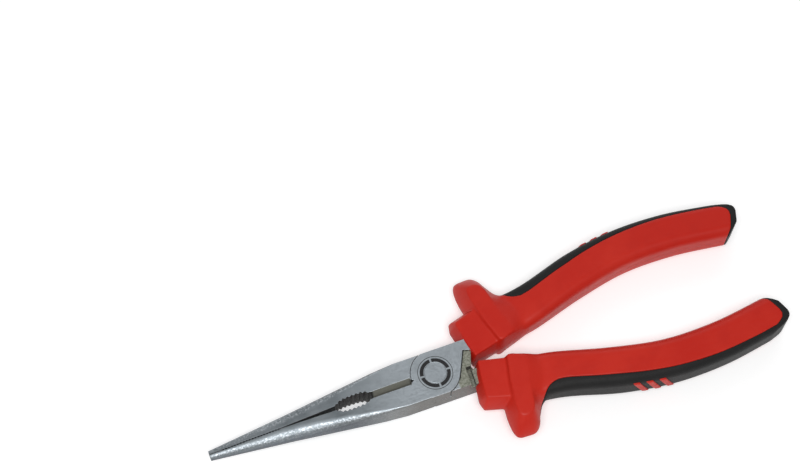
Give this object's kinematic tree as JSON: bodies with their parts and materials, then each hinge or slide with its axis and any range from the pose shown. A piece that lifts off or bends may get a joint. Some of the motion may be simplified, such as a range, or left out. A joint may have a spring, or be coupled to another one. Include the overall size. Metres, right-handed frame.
{
  "type": "snipe-nose side-cutting pliers",
  "caption": "Long tapered snipe-nose pliers with a pipe grip, side cutter and lap joint, and red moulded grips with finger guards and a black soft strip.",
  "frame": {"origin": "on the pivot axis, at the ground rear face of the joint", "axes": "+X from the pivot towards the handle ends, +Z along the pivot axis and out of the front face, +Y towards the handle of the front lever"},
  "size_m": [0.1992, 0.0578, 0.0136],
  "materials": {
    "ground_steel": "fine ground satin, as-forged in the recesses",
    "rivet_steel": "ground flush with the joint",
    "red_grip": "satin moulded red",
    "black_soft_strip": "matt soft black"
  },
  "bodies": {
    "rear_half": {"rear_lever": "ground_steel", "pivot_rivet": "rivet_steel", "rear_grip": "red_grip", "rear_overmould": "black_soft_strip"},
    "front_half": {"front_lever": "ground_steel", "front_grip": "red_grip", "front_overmould": "black_soft_strip"}
  },
  "joints": [
    {"name": "jaw_pivot", "type": "hinge", "parent": "rear_half", "child": "front_half", "pos_m": [0, 0, 0.00475], "axis": [0, 0, 1], "range_deg": [0, 35]}
  ]
}
